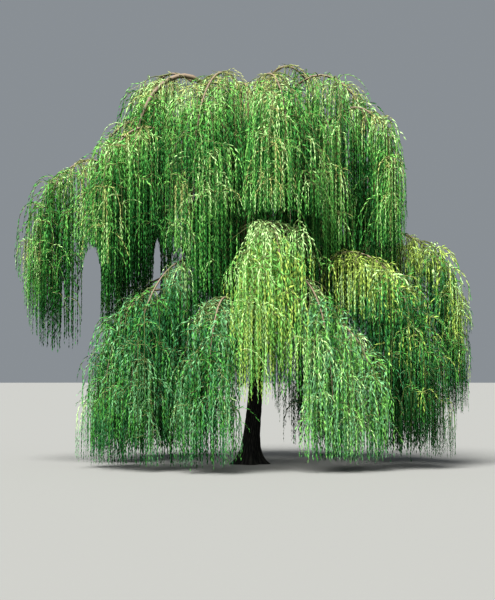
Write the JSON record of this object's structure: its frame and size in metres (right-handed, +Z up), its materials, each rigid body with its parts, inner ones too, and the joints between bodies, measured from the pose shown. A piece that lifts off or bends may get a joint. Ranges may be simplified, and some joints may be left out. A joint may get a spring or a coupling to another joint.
{
  "type": "weeping willow tree",
  "caption": "Weeping willow with a leaning trunk, arching boughs and masses of foliage that hang from them in curtains, some to the ground.",
  "frame": {"origin": "middle of the flat cut under the trunk, at ground level", "axes": "+Z up; the side seen in the picture faces -Y, with its right along +X, which is the widest way across the crown"},
  "size_m": [11.6902, 9.5586, 10.506],
  "materials": {
    "bark": "rough furrowed bark",
    "crown_leaves": "matt leaves, a little silvery underneath",
    "shoulder_leaves": "matt leaves, a little silvery underneath",
    "front_leaves": "matt leaves, a little silvery underneath",
    "skirt_leaves": "matt leaves, a little silvery underneath",
    "slope_leaves": "matt leaves, a little silvery underneath"
  },
  "bodies": {
    "root": {"trunk": "bark", "bough_crown_left": "bark", "bough_crown_right": "bark", "bough_crown_back": "bark", "bough_shoulder_far_left": "bark", "bough_front_centre": "bark", "bough_skirt_right": "bark", "bough_skirt_back": "bark", "bough_crown_front_left": "bark", "bough_crown_front_right": "bark", "bough_crown_top": "bark", "bough_crown_back_left": "bark", "bough_crown_back_right": "bark", "bough_shoulder_left": "bark", "bough_shoulder_left_top": "bark", "bough_shoulder_right": "bark", "bough_shoulder_back_left": "bark", "bough_shoulder_back": "bark", "bough_shoulder_back_right": "bark", "bough_skirt_left": "bark", "bough_skirt_front_left": "bark", "bough_skirt_front": "bark", "bough_skirt_front_right": "bark", "bough_slope_right": "bark", "bough_skirt_right_front": "bark", "bough_skirt_back_right": "bark", "bough_skirt_far_back_right": "bark", "bough_skirt_back_left": "bark", "bough_skirt_far_left": "bark", "foliage_crown_left": "crown_leaves", "foliage_crown_right": "crown_leaves", "foliage_crown_back": "crown_leaves", "foliage_shoulder_far_left": "shoulder_leaves", "foliage_front_centre": "front_leaves", "foliage_skirt_right": "skirt_leaves", "foliage_skirt_back": "skirt_leaves", "foliage_crown_front_left": "crown_leaves", "foliage_crown_front_right": "crown_leaves", "foliage_crown_top": "crown_leaves", "foliage_crown_back_left": "crown_leaves", "foliage_crown_back_right": "crown_leaves", "foliage_shoulder_left": "shoulder_leaves", "foliage_shoulder_left_top": "shoulder_leaves", "foliage_shoulder_right": "shoulder_leaves", "foliage_shoulder_back_left": "shoulder_leaves", "foliage_shoulder_back": "shoulder_leaves", "foliage_shoulder_back_right": "shoulder_leaves", "foliage_skirt_left": "skirt_leaves", "foliage_skirt_front_left": "skirt_leaves", "foliage_skirt_front": "skirt_leaves", "foliage_skirt_front_right": "skirt_leaves", "foliage_slope_right": "slope_leaves", "foliage_skirt_right_front": "skirt_leaves", "foliage_skirt_back_right": "skirt_leaves", "foliage_skirt_far_back_right": "skirt_leaves", "foliage_skirt_back_left": "skirt_leaves", "foliage_skirt_far_left": "skirt_leaves"}
  },
  "joints": []
}
